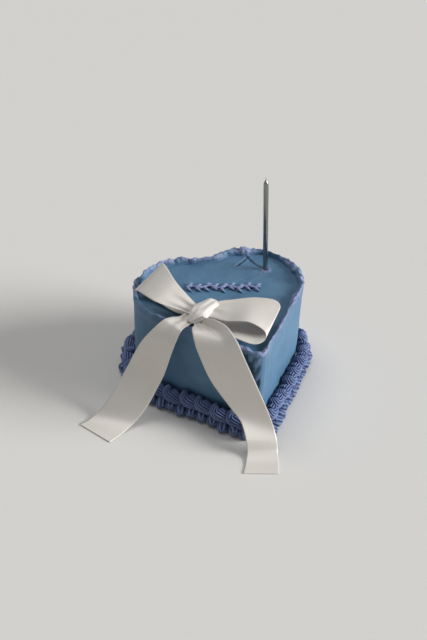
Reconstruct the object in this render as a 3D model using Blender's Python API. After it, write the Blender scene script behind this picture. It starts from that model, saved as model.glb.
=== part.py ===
"""Heart-shaped cream cake with a two-row piped border, a ribbon bow with two tails and one candle.

Metres, +Z up. The heart's axis of symmetry runs along Y with its point towards -Y, and the cake
stands on z = 0. The origin is the centre of the underside of the whole object's bounding box.
"""

import math

import bmesh
import bpy
from mathutils import Matrix, Vector

MM = 0.001
GAP = 0.3 * MM

# Heart outline: two round lobes, straight sides to a rounded point, and a filled shallow cleft.
LOBE_OFFSET = 35.3 * MM
LOBE_RADIUS = 60.6 * MM
POINT_REACH = 129.0 * MM
POINT_RADIUS = 8.0 * MM
CLEFT_RADIUS = 45.0 * MM

# Cake body: flat top inside a raised lip of untrimmed cream.
TOP_HEIGHT = 104.0 * MM
LIP_HEIGHT = 111.0 * MM
LIP_OUT = 1.8 * MM
LIP_IN = 6.2 * MM
LIP_WAVE = 0.5 * MM
OUTLINE_STATIONS = 96

# Piped border: a row of large shells above a row of small ones.
LARGE_SHELLS = 30
LARGE_REACH = 15.5 * MM
LARGE_BASE = 9.6 * MM
LARGE_HEIGHT = 15.6 * MM
SMALL_SHELLS = 46
SMALL_REACH = 20.5 * MM
SMALL_HEIGHT = 9.2 * MM

# Candle: a thin rod pushed into the top, leaning a little, with a tapered tip and a short wick.
CANDLE_FOOT = Vector((62.0, 17.0, 104.0)) * MM
CANDLE_LEAN = Vector((-0.0555, 0.0214, 0.9982))
CANDLE_RADIUS = 2.8 * MM
CANDLE_ABOVE = 115.5 * MM
CANDLE_BELOW = 22.0 * MM
TIP_LENGTH = 5.0 * MM
TIP_RADIUS = 0.9 * MM
WICK_RADIUS = 0.55 * MM
WICK_LENGTH = 3.4 * MM

# Piped vine on the top: a waved stem with drop-shaped leaves on both sides.
VINE_CENTRE = Vector((4.0, -2.0, 0.0)) * MM
VINE_ANGLE = math.radians(-17.0)
VINE_LENGTH = 84.0 * MM
VINE_SWING = 1.8 * MM
VINE_WAVES = 4
VINE_RADIUS = 1.6 * MM
LEAF_LENGTH = 9.0 * MM
LEAF_ANGLE = math.radians(52.0)
LEAF_PAIRS = 9

# Satin ribbon: 40 mm wide, each length given by its two edges as it lies, in millimetres.
RIBBON_THICK = 0.8 * MM
KNOT_ENDS = ((-53.0, -55.5, 118.6), (-27.0, -43.5, 117.4))
KNOT_RADIUS = 6.2 * MM
LOOP_LEFT = (
    ((-62.0, -43.0, 117.0), (-49.0, -40.0, 121.5)),
    ((-80.0, -24.0, 119.0), (-53.0, -11.0, 129.0)),
    ((-91.5, 1.0, 117.5), (-56.0, 18.0, 132.0)),
    ((-94.0, 10.0, 114.0), (-57.0, 28.0, 130.0)),
    ((-90.0, 9.0, 112.4), (-54.0, 27.0, 122.0)),
    ((-77.0, -5.0, 107.5), (-49.0, 12.0, 110.0)),
    ((-63.0, -27.0, 105.5), (-42.0, -20.0, 106.0)),
    ((-55.0, -38.0, 107.0), (-42.0, -36.0, 107.5)),
)
LOOP_RIGHT = (
    ((-32.0, -59.0, 118.0), (-19.0, -47.0, 121.0)),
    ((-22.0, -79.0, 121.0), (-4.0, -50.0, 124.0)),
    ((-4.0, -94.0, 127.0), (18.0, -58.0, 127.5)),
    ((9.0, -105.0, 121.0), (35.0, -72.0, 130.0)),
    ((8.0, -112.0, 115.0), (35.0, -84.0, 127.0)),
    ((-4.0, -113.0, 112.6), (20.0, -82.0, 114.0)),
    ((-18.0, -98.0, 112.3), (-3.0, -68.0, 108.5)),
    ((-30.0, -72.0, 107.5), (-22.0, -53.0, 106.5)),
)
TAIL_RIGHT = (
    ((-52.0, -66.0, 113.6), (-38.0, -66.0, 113.8)),
    ((-56.0, -71.0, 114.2), (-31.0, -77.0, 115.2)),
    ((-58.0, -78.0, 113.4), (-22.0, -91.0, 115.6)),
    ((-58.0, -85.0, 107.0), (-19.5, -108.5, 114.2)),
    ((-56.0, -91.0, 97.0), (-16.5, -119.0, 103.0)),
    ((-47.0, -106.0, 70.0), (-7.0, -130.5, 76.0)),
    ((-31.0, -123.0, 43.0), (3.0, -142.0, 47.0)),
    ((-23.0, -135.0, 31.0), (9.0, -149.0, 26.0)),
    ((-22.0, -150.0, 18.0), (10.0, -158.0, 14.0)),
    ((-22.0, -155.0, 6.0), (9.0, -164.0, 5.0)),
    ((-26.0, -163.0, 1.4), (6.0, -174.0, 1.4)),
    ((-35.0, -178.0, 0.7), (0.0, -190.0, 0.7)),
)
TAIL_LEFT = (
    ((-62.0, -47.0, 112.9), (-56.5, -64.0, 112.9)),
    ((-71.0, -46.5, 113.4), (-62.0, -66.5, 112.9)),
    ((-80.0, -48.0, 112.8), (-68.0, -70.0, 110.5)),
    ((-94.0, -49.0, 102.0), (-74.0, -73.0, 101.0)),
    ((-105.0, -44.0, 83.0), (-79.5, -74.0, 86.0)),
    ((-118.0, -43.0, 56.0), (-86.0, -72.0, 60.0)),
    ((-131.0, -46.0, 35.0), (-95.0, -71.0, 38.0)),
    ((-143.0, -49.0, 19.0), (-107.0, -74.0, 19.0)),
    ((-154.0, -51.0, 7.0), (-121.0, -78.0, 6.0)),
    ((-165.0, -54.0, 1.6), (-137.0, -86.0, 1.4)),
    ((-177.0, -58.0, 0.7), (-153.0, -94.0, 0.7)),
)

BLUE_CREAM = (0.085, 0.155, 0.270, 1.0)
BORDER_CREAM = (0.060, 0.105, 0.220, 1.0)
SATIN = (0.620, 0.600, 0.540, 1.0)
SILVER = (0.560, 0.560, 0.540, 1.0)
WICK_WHITE = (0.700, 0.640, 0.540, 1.0)


def clear():
    """Empty the scene."""
    for item in list(bpy.data.objects):
        bpy.data.objects.remove(item, do_unlink=True)
    for mesh in list(bpy.data.meshes):
        bpy.data.meshes.remove(mesh)


def material(name, colour, roughness, metallic=0.0):
    """A plain Principled material."""
    mat = bpy.data.materials.new(name)
    mat.use_nodes = True
    shader = mat.node_tree.nodes["Principled BSDF"]
    shader.inputs["Base Color"].default_value = colour
    shader.inputs["Roughness"].default_value = roughness
    shader.inputs["Metallic"].default_value = metallic
    mat.diffuse_color = colour
    return mat


def heart_half():
    """Right half of the heart as a dense list of points, from the point round to the cleft."""
    reach = math.hypot(LOBE_OFFSET, POINT_REACH)
    side = math.atan2(POINT_REACH, LOBE_OFFSET) - math.asin(LOBE_RADIUS / reach)
    half_angle = math.pi / 2 - side
    corner_y = -POINT_REACH + POINT_RADIUS / math.sin(half_angle)
    cleft_y = math.sqrt((LOBE_RADIUS + CLEFT_RADIUS) ** 2 - LOBE_OFFSET ** 2)
    start = side - math.pi / 2
    stop = math.atan2(cleft_y, -LOBE_OFFSET)
    points = []
    for i in range(13):
        a = -math.pi / 2 + (start + math.pi / 2) * i / 12
        points.append((POINT_RADIUS * math.cos(a), corner_y + POINT_RADIUS * math.sin(a)))
    for i in range(161):
        a = start + (stop - start) * i / 160
        points.append((LOBE_OFFSET + LOBE_RADIUS * math.cos(a), LOBE_RADIUS * math.sin(a)))
    first = math.atan2(-cleft_y, LOBE_OFFSET)
    for i in range(1, 25):
        a = first + (-math.pi / 2 - first) * i / 24
        points.append((CLEFT_RADIUS * math.cos(a), cleft_y + CLEFT_RADIUS * math.sin(a)))
    return points


def outline(count):
    """count points evenly spaced round the heart, each with its outward direction."""
    right = heart_half()
    loop = right + [(-x, y) for x, y in reversed(right[1:-1])]
    lengths = [0.0]
    for i in range(len(loop)):
        ax, ay = loop[i]
        bx, by = loop[(i + 1) % len(loop)]
        lengths.append(lengths[-1] + math.hypot(bx - ax, by - ay))
    total = lengths[-1]
    found = []
    k = 0
    for i in range(count):
        s = total * i / count
        while lengths[k + 1] < s:
            k += 1
        t = (s - lengths[k]) / (lengths[k + 1] - lengths[k])
        ax, ay = loop[k]
        bx, by = loop[(k + 1) % len(loop)]
        found.append((ax + (bx - ax) * t, ay + (by - ay) * t))
    rows = []
    for i in range(count):
        ax, ay = found[i - 1]
        bx, by = found[(i + 1) % count]
        run = math.hypot(bx - ax, by - ay)
        rows.append((found[i][0], found[i][1], (by - ay) / run, -(bx - ax) / run))
    return rows


def solid(name, rings, mat, closed=False, sharp=None):
    """Closed body through a list of equal rings of points; closed joins the last ring to the first."""
    mesh = bpy.data.meshes.new(name)
    bm = bmesh.new()
    grid = [[bm.verts.new(p) for p in ring] for ring in rings]
    count = len(grid)
    width = len(grid[0])
    for i in range(count if closed else count - 1):
        a = grid[i]
        b = grid[(i + 1) % count]
        for j in range(width):
            k = (j + 1) % width
            bm.faces.new((a[j], a[k], b[k], b[j]))
    if not closed:
        bm.faces.new(list(reversed(grid[0])))
        bm.faces.new(grid[-1])
    bmesh.ops.recalc_face_normals(bm, faces=bm.faces)
    if bm.calc_volume(signed=True) < 0:
        bmesh.ops.reverse_faces(bm, faces=bm.faces)
    bm.to_mesh(mesh)
    bm.free()
    mesh.materials.append(mat)
    obj = bpy.data.objects.new(name, mesh)
    bpy.context.scene.collection.objects.link(obj)
    mesh.shade_smooth()
    if sharp is not None:
        mesh.set_sharp_from_angle(angle=math.radians(sharp))
    return obj


def combine(target, cutter, operation):
    """Apply an exact Boolean of the cutter to the target and drop the cutter."""
    cutter.hide_render = True
    cutter.display_type = "WIRE"
    mod = target.modifiers.new(operation.title(), "BOOLEAN")
    mod.solver = "EXACT"
    mod.operation = operation
    mod.object = cutter
    graph = bpy.context.evaluated_depsgraph_get()
    mesh = bpy.data.meshes.new_from_object(target.evaluated_get(graph))
    target.modifiers.remove(mod)
    old = target.data
    target.data = mesh
    mesh.name = target.name
    bpy.data.meshes.remove(old)
    bpy.data.objects.remove(cutter, do_unlink=True)


def rod_rings(foot, direction, stations, sides):
    """Rings of a round bar; stations are (distance along it, radius)."""
    turn = direction.normalized().to_track_quat("Z", "Y").to_matrix()
    rings = []
    for along, radius in stations:
        ring = []
        for j in range(sides):
            a = math.tau * j / sides
            ring.append(foot + turn @ Vector((radius * math.cos(a), radius * math.sin(a), along)))
        rings.append(ring)
    return rings


def cake_body(cream):
    """Heart-shaped block with a raised lip and a hole for the candle."""
    rows = outline(OUTLINE_STATIONS)
    section = (
        (0.0, 0.0),
        (0.0, 40.0 * MM),
        (0.0, TOP_HEIGHT - 4.0 * MM),
        (0.6 * LIP_OUT, TOP_HEIGHT + 1.0 * MM),
        (LIP_OUT, LIP_HEIGHT - 2.2 * MM),
        (-0.4 * LIP_IN, LIP_HEIGHT),
        (-0.8 * LIP_IN, LIP_HEIGHT - 2.4 * MM),
        (-LIP_IN, TOP_HEIGHT),
    )
    rings = []
    for out, z in section:
        lift = LIP_WAVE if z > TOP_HEIGHT + 2.0 * MM else 0.0
        ring = []
        for i, (x, y, nx, ny) in enumerate(rows):
            t = math.tau * i / OUTLINE_STATIONS
            wave = lift * (math.sin(9 * t) + 0.6 * math.sin(17 * t + 1.0))
            ring.append(Vector((x + nx * out, y + ny * out, z + wave)))
        rings.append(ring)
    body = solid("cake_body", rings, cream, sharp=40)
    hole = rod_rings(
        CANDLE_FOOT,
        CANDLE_LEAN,
        ((-CANDLE_BELOW - GAP, CANDLE_RADIUS + GAP), (12.0 * MM, CANDLE_RADIUS + GAP)),
        16,
    )
    combine(body, solid("candle_hole", hole, cream), "DIFFERENCE")
    body.data.shade_smooth()
    body.data.set_sharp_from_angle(angle=math.radians(40))
    return body


def border(name, mat, shells, per_shell, steps, inner, reach, base, height, slant):
    """Ring of piped shells round the cake: a section that swells and shrinks once per shell."""
    rows = outline(shells * per_shell)
    rings = []
    for i, (x, y, nx, ny) in enumerate(rows):
        ring = []
        for k in range(steps + 1):
            a = math.pi / 2 * (1 - 2 * k / steps)
            phase = i / per_shell + slant * k / steps
            swell = 0.74 + 0.26 * math.sqrt(abs(math.sin(math.pi * phase)))
            out = (reach - inner) * swell * max(math.cos(a), 0.0) ** 0.75
            up = 0.5 + 0.5 * math.sin(a)
            lift = height * (up if up < 0.5 else 0.5 + (up - 0.5) * (2 * swell - 1))
            d = inner + out
            ring.append(Vector((x + nx * d, y + ny * d, base + lift)))
        rings.append(ring)
    return solid(name, rings, mat, closed=True, sharp=50)


def spline(points, t):
    """Catmull-Rom value through a list of vectors at t from 0 to len - 1."""
    last = len(points) - 1
    i = min(int(t), last - 1)
    f = t - i
    p1 = points[i]
    p2 = points[i + 1]
    p0 = points[i - 1] if i > 0 else p1 * 2 - p2
    p3 = points[i + 2] if i + 2 <= last else p2 * 2 - p1
    a = p1 * 2
    b = p2 - p0
    c = p0 * 2 - p1 * 5 + p2 * 4 - p3
    d = p1 * 3 - p0 - p2 * 3 + p3
    return (a + b * f + c * (f * f) + d * (f * f * f)) * 0.5


def ribbon(name, mat, edges, per_span, across):
    """Thin closed strip between the two edge curves."""
    first = [Vector(pair[0]) * MM for pair in edges]
    second = [Vector(pair[1]) * MM for pair in edges]
    steps = (len(edges) - 1) * per_span
    rows = []
    for i in range(steps + 1):
        t = i / per_span
        a = spline(first, t)
        b = spline(second, t)
        rows.append([a.lerp(b, j / across) for j in range(across + 1)])
    rings = []
    for i, row in enumerate(rows):
        ahead = rows[min(i + 1, steps)]
        behind = rows[max(i - 1, 0)]
        upper = []
        lower = []
        for j, p in enumerate(row):
            side = row[min(j + 1, across)] - row[max(j - 1, 0)]
            normal = (ahead[j] - behind[j]).cross(side).normalized() * (RIBBON_THICK / 2)
            upper.append(p + normal)
            lower.append(p - normal)
        rings.append(upper + list(reversed(lower)))
    return solid(name, rings, mat, sharp=50)


def knot(mat):
    """Rounded wrap of ribbon that holds the bow together."""
    a = Vector(KNOT_ENDS[0]) * MM
    b = Vector(KNOT_ENDS[1]) * MM
    axis = (b - a).normalized()
    across = axis.cross(Vector((0, 0, 1))).normalized()
    up = across.cross(axis)
    length = (b - a).length
    rings = []
    steps = 10
    for i in range(steps + 1):
        turn = math.pi * (0.06 + 0.88 * i / steps)
        along = 0.5 - 0.5 * math.cos(turn)
        radius = KNOT_RADIUS * math.sin(turn) ** 0.5
        ring = []
        for j in range(14):
            c = math.tau * j / 14
            pleat = 1.0 + 0.05 * math.cos(5 * c + 0.8)
            offset = across * math.cos(c) * 1.12 + up * math.sin(c) * 0.88
            middle = a + axis * (length * along)
            ring.append(middle + offset * (radius * pleat))
        rings.append(ring)
    return solid("bow_knot", rings, mat, sharp=60)


def vine_point(t):
    """Centre line of the vine's stem at t from 0 to 1."""
    x = (t - 0.5) * VINE_LENGTH
    fade = min(1.0, 5 * t, 5 * (1 - t))
    y = VINE_SWING * fade * math.sin(math.tau * VINE_WAVES * t)
    turn = Matrix.Rotation(VINE_ANGLE, 3, "Z")
    return turn @ Vector((x, y, 0.0)) + VINE_CENTRE


def vine(mat):
    """Piped stem with drop-shaped leaves, fused into one piece."""
    z = TOP_HEIGHT + GAP + VINE_RADIUS
    rings = []
    steps = VINE_WAVES * 10
    for i in range(steps + 1):
        t = i / steps
        p = vine_point(t)
        d = vine_point(min(t + 0.01, 1.0)) - vine_point(max(t - 0.01, 0.0))
        side = Vector((d.y, -d.x, 0.0)).normalized()
        radius = VINE_RADIUS * (0.55 if i in (0, steps) else 1.0)
        ring = []
        for j in range(7):
            a = math.tau * (j + 0.5) / 7
            ring.append(
                Vector((p.x, p.y, z)) + side * (radius * math.cos(a)) + Vector((0, 0, radius * math.sin(a)))
            )
        rings.append(ring)
    stem = solid("piped_vine", rings, mat, sharp=70)
    for k in range(2 * LEAF_PAIRS):
        out = 1.0 if k % 2 == 0 else -1.0
        t = (k // 2 + 0.35 + 0.15 * out) / LEAF_PAIRS
        turn = Matrix.Rotation(VINE_ANGLE + out * LEAF_ANGLE, 3, "Z")
        direction = turn @ Vector((1.0, 0.0, 0.0))
        foot = vine_point(t)
        foot.z = z
        stations = (
            (-0.9 * MM, 0.5 * MM),
            (0.8 * MM, 1.2 * MM),
            (0.5 * LEAF_LENGTH, 1.6 * MM),
            (LEAF_LENGTH, 0.4 * MM),
        )
        leaf = solid("leaf", rod_rings(foot, direction, stations, 7), mat)
        combine(stem, leaf, "UNION")
    stem.data.shade_smooth()
    stem.data.set_sharp_from_angle(angle=math.radians(60))
    return stem


def candle(silver, white):
    """Thin candle with a tapered tip, and its wick."""
    top = CANDLE_ABOVE
    shaft = rod_rings(
        CANDLE_FOOT,
        CANDLE_LEAN,
        ((-CANDLE_BELOW, CANDLE_RADIUS), (top - TIP_LENGTH, CANDLE_RADIUS), (top - 1.4 * MM, 1.7 * MM), (top, TIP_RADIUS)),
        16,
    )
    solid("candle", shaft, silver, sharp=40)
    foot = top + GAP
    wick = rod_rings(
        CANDLE_FOOT, CANDLE_LEAN, ((foot, WICK_RADIUS), (foot + WICK_LENGTH, 0.7 * WICK_RADIUS)), 8
    )
    solid("candle_wick", wick, white, sharp=40)


def centre_all():
    """Move every mesh so that the bounding box's underside is centred on the origin."""
    low = Vector((math.inf, math.inf, math.inf))
    high = -low
    for obj in bpy.data.objects:
        for v in obj.data.vertices:
            low = Vector(map(min, low, v.co))
            high = Vector(map(max, high, v.co))
    shift = Vector(((low.x + high.x) / 2, (low.y + high.y) / 2, low.z))
    for obj in bpy.data.objects:
        obj.data.transform(Matrix.Translation(-shift))
    print("moved by", tuple(round(-c / MM, 3) for c in shift), "size", tuple((high - low) / MM))


def build():
    """Build every piece."""
    clear()
    blue = material("blue_cream", BLUE_CREAM, 0.55)
    piped = material("piped_cream", BORDER_CREAM, 0.5)
    satin = material("satin", SATIN, 0.35)
    silver = material("silver_foil", SILVER, 0.3, 1.0)
    white = material("wick_cotton", WICK_WHITE, 0.8)
    cake_body(blue)
    border("border_large_shells", piped, LARGE_SHELLS, 5, 7, GAP, LARGE_REACH, LARGE_BASE, LARGE_HEIGHT, 0.45)
    border("border_small_shells", piped, SMALL_SHELLS, 4, 6, GAP, SMALL_REACH, 0.0, SMALL_HEIGHT, 0.2)
    vine(piped)
    candle(silver, white)
    ribbon("bow_loop_left", satin, LOOP_LEFT, 3, 3)
    ribbon("bow_loop_right", satin, LOOP_RIGHT, 3, 3)
    knot(satin)
    ribbon("bow_tail_left", satin, TAIL_LEFT, 2, 3)
    ribbon("bow_tail_right", satin, TAIL_RIGHT, 2, 3)
    centre_all()


build()
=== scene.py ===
"""Looks of a heart-shaped birthday cake: blue cream, piped borders, satin bow and silver candle.

Sizes and shapes below are in millimetres from the middle of the heart's two lobes, on the table.
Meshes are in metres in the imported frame, where the box of the node cake_body gives that middle.
"""

import logging
import math
from dataclasses import dataclass
from enum import Enum
from functools import partial
from typing import Any, Sequence

import bpy
import numpy as np
from mathutils import Matrix, Vector

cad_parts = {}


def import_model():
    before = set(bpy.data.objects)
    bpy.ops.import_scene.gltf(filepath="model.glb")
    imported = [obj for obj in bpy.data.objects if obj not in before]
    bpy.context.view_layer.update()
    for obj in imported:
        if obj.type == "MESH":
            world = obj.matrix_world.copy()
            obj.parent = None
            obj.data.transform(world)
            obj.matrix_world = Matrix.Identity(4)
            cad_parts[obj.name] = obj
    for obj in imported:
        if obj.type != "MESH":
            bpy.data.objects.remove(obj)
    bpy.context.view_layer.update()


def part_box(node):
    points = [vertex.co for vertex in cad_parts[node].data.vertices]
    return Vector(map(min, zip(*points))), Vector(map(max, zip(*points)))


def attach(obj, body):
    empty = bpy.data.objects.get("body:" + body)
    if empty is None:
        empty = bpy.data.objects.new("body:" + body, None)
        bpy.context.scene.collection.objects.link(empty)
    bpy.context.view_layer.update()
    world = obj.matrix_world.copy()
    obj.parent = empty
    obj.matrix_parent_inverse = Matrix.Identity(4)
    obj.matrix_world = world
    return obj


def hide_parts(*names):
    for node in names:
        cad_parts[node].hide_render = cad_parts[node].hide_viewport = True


MM = 0.001
BODY = "root"
TABLE_GAP = 0.2  # Millimetres between the table and the lowest cream.
CLOTH = 0.35  # Thickness of the ribbon, in millimetres.
Array = np.ndarray
Pair = tuple[float, float]
Triple = tuple[float, float, float]
log = logging.getLogger("cake")


# ---------------------------------------------------------------- helpers


def linear(code: str) -> tuple[float, float, float, float]:
    """Turn an sRGB hex colour into a linear one.

    Args:
        code: Colour such as "5A82A0".

    Returns:
        Red, green, blue and alpha.
    """
    parts = [int(code[i : i + 2], 16) / 255 for i in (0, 2, 4)]
    red, green, blue = (c / 12.92 if c <= 0.04045 else ((c + 0.055) / 1.055) ** 2.4 for c in parts)
    return red, green, blue, 1.0


def plug(node: bpy.types.Node, links: dict[str | int, Any]) -> None:
    """Link inputs of a node, each from a socket or from a node's first output in use."""
    for key, source in links.items():
        if isinstance(source, bpy.types.Node):
            source = next(socket for socket in source.outputs if socket.enabled)
        node.id_data.links.new(source, node.inputs[key])


def add_node(
    tree: bpy.types.NodeTree,
    kind: str,
    links: dict[str | int, Any] | None = None,
    values: dict[str | int, Any] | None = None,
    **settings: Any,
) -> bpy.types.Node:
    """Add a node with its settings, its constant inputs and its links.

    Args:
        tree: Node tree to add to.
        kind: Node type.
        links: Output socket, or node, for each linked input.
        values: Constant for each unlinked input.
        settings: Properties of the node itself.

    Returns:
        The node.
    """
    node = tree.nodes.new(kind)
    for key, value in settings.items():
        setattr(node, key, value)
    for key, value in (values or {}).items():
        node.inputs[key].default_value = value
    plug(node, links or {})
    return node


def new_material(name: str) -> tuple[bpy.types.Material, bpy.types.NodeTree, bpy.types.Node]:
    """Start a material.

    Args:
        name: Name of the material.

    Returns:
        The material, its node tree and its shader.
    """
    material = bpy.data.materials.new(name)
    material.use_nodes = True
    return material, material.node_tree, material.node_tree.nodes["Principled BSDF"]


def smoothstep(value: Array, low: float, high: float) -> Array:
    """Rise smoothly from 0 at low to 1 at high."""
    t = np.clip((value - low) / (high - low), 0.0, 1.0)
    return t * t * (3 - 2 * t)


def spline(points: Array, t: Array) -> Array:
    """Catmull-Rom curve through points.

    Args:
        points: Array of n points.
        t: Places along the curve, from 0 to n - 1.

    Returns:
        One point for each place.
    """
    last = len(points) - 1
    full = np.vstack([2 * points[0] - points[1], points, 2 * points[-1] - points[-2]])
    i = np.minimum(t.astype(int), last - 1)
    f = (t - i)[:, None]
    p0, p1, p2, p3 = full[i], full[i + 1], full[i + 2], full[i + 3]
    cubic = 3 * p1 - p0 - 3 * p2 + p3
    return 0.5 * (2 * p1 + (p2 - p0) * f + (2 * p0 - 5 * p1 + 4 * p2 - p3) * f**2 + cubic * f**3)


class Grain:
    """Smooth seeded noise in space, from -1 to 1."""

    def __init__(self, seed: int) -> None:
        """Fill the tables from the seed."""
        rng = np.random.default_rng(seed)
        self.table = rng.uniform(-1.0, 1.0, 4096)
        self.order = rng.permutation(4096)

    def at(self, points: Array, size: float | Sequence[float]) -> Array:
        """Noise at points.

        Args:
            points: Points, in millimetres.
            size: Width of one lump, in millimetres, or one width for each axis.

        Returns:
            One value for each point.
        """
        q = points / np.asarray(size, float)
        cell = np.floor(q).astype(int)
        f = q - cell
        f = f * f * (3 - 2 * f)
        total = np.zeros(len(points))
        for corner in range(8):
            step = np.array([corner & 1, corner >> 1 & 1, corner >> 2 & 1])
            weight = np.where(step, f, 1 - f).prod(axis=1)
            i, j, k = ((cell + step) & 4095).T
            place = self.order[(i + self.order[(j + self.order[k]) & 4095]) & 4095]
            total += weight * self.table[place]
        return total

    def layered(self, points: Array, size: float, layers: int = 3) -> Array:
        """Noise with finer layers on it, each half as wide and half as strong."""
        return sum(self.at(points + 37.0 * n, size / 2**n) * 0.5**n for n in range(layers))


class Place:
    """Where the cake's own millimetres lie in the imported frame."""

    def __init__(self, lobe_radius: float, lip_out: float) -> None:
        """Read the middle of the lobes from the box of the cake's body."""
        low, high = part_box("cake_body")
        self.origin = Vector(((low.x + high.x) / 2, high.y - (lobe_radius + lip_out) * MM, 0.0))

    def world(self, points: Array) -> Array:
        """Points in metres in the frame from points in the cake's millimetres."""
        return np.asarray(points, float) * MM + np.array(self.origin)


def strip_faces(rows: int, columns: int, wrap: bool, first: int = 0) -> list[tuple[int, ...]]:
    """Four-sided faces of a grid of points.

    Args:
        rows: Number of rows.
        columns: Points in each row.
        wrap: Whether each row closes on itself.
        first: Index of the grid's first point.

    Returns:
        Faces, facing out when the rows go up and each goes anticlockwise.
    """
    steps = columns if wrap else columns - 1
    i, j = np.meshgrid(np.arange(rows - 1), np.arange(steps), indexing="ij")
    k = (j + 1) % columns
    corners = (i * columns + j, i * columns + k, (i + 1) * columns + k, (i + 1) * columns + j)
    return (np.stack(corners, -1).reshape(-1, 4) + first).tolist()


def closed_sweep(
    rings: Array, start: Triple | None = None, end: Triple | None = None
) -> tuple[Array, list[list[int]]]:
    """Close a stack of rings at both ends.

    Args:
        rings: Rings of points, one after another.
        start: Point that closes the first ring; its middle if left out.
        end: Point that closes the last ring; its middle if left out.

    Returns:
        Points and faces; the last two points are the closing ones.
    """
    rows, columns = rings.shape[:2]
    start = rings[0].mean(0) if start is None else start
    end = rings[-1].mean(0) if end is None else end
    faces = strip_faces(rows, columns, True)
    last, foot, hub = (rows - 1) * columns, rows * columns, rows * columns + 1
    for j in range(columns):
        k = (j + 1) % columns
        faces.append([k, j, foot])
        faces.append([last + j, last + k, hub])
    return np.vstack([rings.reshape(-1, 3), start, end]), faces


def make_piece(
    name: str,
    points: Array,
    faces: Sequence[Sequence[int]],
    material: bpy.types.Material,
    attributes: dict[str, Array] | None = None,
) -> bpy.types.Object:
    """Make a smooth mesh object.

    Args:
        name: Name of the object.
        points: Points in metres.
        faces: Faces as point indices.
        material: Its finish.
        attributes: Value of each named attribute at each point.

    Returns:
        The object, linked to the scene.
    """
    mesh = bpy.data.meshes.new(name)
    mesh.from_pydata(np.asarray(points).tolist(), [], faces)
    mesh.materials.append(material)
    for key, values in (attributes or {}).items():
        layer = mesh.attributes.new(key, "FLOAT", "POINT")
        layer.data.foreach_set("value", np.asarray(values, np.float32))
    mesh.shade_smooth()
    mesh.update()
    piece = bpy.data.objects.new(name, mesh)
    bpy.context.scene.collection.objects.link(piece)
    return piece


def settle(piece: bpy.types.Object, slot: str, *nodes: str) -> None:
    """Let a finished piece ride with the cake in place of its plain nodes.

    Args:
        piece: The finished piece.
        slot: Name of a material slot; not used.
        nodes: Nodes that the piece stands for.
    """
    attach(piece, BODY)
    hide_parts(*nodes)
    log.info("%s: %d points", piece.name, len(piece.data.vertices))


# ---------------------------------------------------------------- finishes


@dataclass(frozen=True)
class Buttercream:
    """Whipped buttercream, spread or piped: matt, slightly see-through and faintly greasy, with
    painted highlights on its ridges and painted shade in its grooves, tears and pits.
    """

    name: str
    body: str = "5A82A0"
    # crest is the colour of painted highlights; the colour after deep is painted shade for grooves,
    # tears and pits.
    crest: str = "9A9CC2"
    deep: str = "4A6F90"
    painted_shade: str = "2A435F"
    roughness: float = 0.52
    streak_mm: float = 2.2
    streak_squash: float = 0.06
    streak_depth: float = 0.12

    def build(self) -> bpy.types.Material:
        """Build the material."""
        material, tree, shader = new_material(self.name)
        add = partial(add_node, tree)
        place = add("ShaderNodeTexCoord").outputs["Object"]
        crest = add("ShaderNodeAttribute", attribute_name="crest").outputs["Fac"]
        holes = add("ShaderNodeAttribute", attribute_name="pits").outputs["Fac"]
        # Colouring beaten in unevenly: clouds 25 mm across, down to flecks of 2 mm.
        cloud = add("ShaderNodeTexNoise", {"Vector": place}, {"Scale": 40.0, "Detail": 4.0})
        tint = add("ShaderNodeMapRange", {"Value": cloud}, {"From Min": 0.3, "From Max": 0.72})
        base = add(
            "ShaderNodeMix",
            {"Factor": tint},
            {"A": linear(self.deep), "B": linear(self.body)},
            data_type="RGBA",
        )
        groove_shade = add(
            "ShaderNodeMapRange",
            {"Value": crest},
            {"From Min": -0.5, "From Max": 0.0, "To Min": 1.0, "To Max": 0.0},
        )
        # Spatula drag on the sides: fine streaks, drawn out upright.
        fine = 1.0 / (self.streak_mm * MM)
        upright = (fine, fine, fine * self.streak_squash)
        drawn = add("ShaderNodeMapping", {"Vector": place}, {"Scale": upright})
        streak = add("ShaderNodeTexNoise", {"Vector": drawn}, {"Scale": 1.0, "Detail": 2.0})
        # Soft curds about 1 mm across.
        curd = add("ShaderNodeTexNoise", {"Vector": place}, {"Scale": 900.0, "Detail": 3.0})
        relief = add(
            "ShaderNodeMath",
            {0: streak, 2: curd},
            {1: self.streak_depth * 2},
            operation="MULTIPLY_ADD",
        )
        bump = add("ShaderNodeBump", {"Height": relief}, {"Strength": 0.35, "Distance": 0.0005})
        # Air pits: a few round specks 1 to 2 mm wide where a bubble broke, drawn as painted shade
        # inside the holes.
        cells = add("ShaderNodeTexVoronoi", {"Vector": place}, {"Scale": 95.0})
        pit = add(
            "ShaderNodeMapRange",
            {"Value": cells},
            {"From Min": 0.06, "From Max": 0.11, "To Min": 1.0, "To Max": 0.0},
        )
        rare = add(
            "ShaderNodeMapRange",
            {"Value": cells.outputs["Color"]},
            {"From Min": 0.52, "From Max": 0.56},
        )
        speck = add("ShaderNodeMath", {0: pit, 1: rare}, operation="MULTIPLY")
        pit_shade = add("ShaderNodeMath", {0: speck, 1: holes}, operation="MULTIPLY")
        # Painted highlight: the crest colour where the crest attribute is high, on ridges and the
        # lip; painted shade: the shade colour where it is low, in grooves and tears, and in the
        # pits.
        colour = base
        painted_light_layers = ((crest, self.crest), (groove_shade, self.painted_shade), (pit_shade, self.painted_shade))
        for share, hue in painted_light_layers:
            colour = add(
                "ShaderNodeMix",
                {"Factor": share, "A": colour},
                {"B": linear(hue)},
                data_type="RGBA",
            )
        gloss = add(
            "ShaderNodeMapRange",
            {"Value": cloud},
            {"To Min": self.roughness - 0.1, "To Max": self.roughness + 0.12},
        )
        plug(shader, {"Base Color": colour, "Roughness": gloss, "Normal": bump})
        shader.inputs["IOR"].default_value = 1.45
        shader.inputs["Subsurface Weight"].default_value = 0.12
        shader.inputs["Subsurface Radius"].default_value = (0.6, 0.8, 1.0)
        shader.inputs["Subsurface Scale"].default_value = 0.0015
        return material


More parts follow.
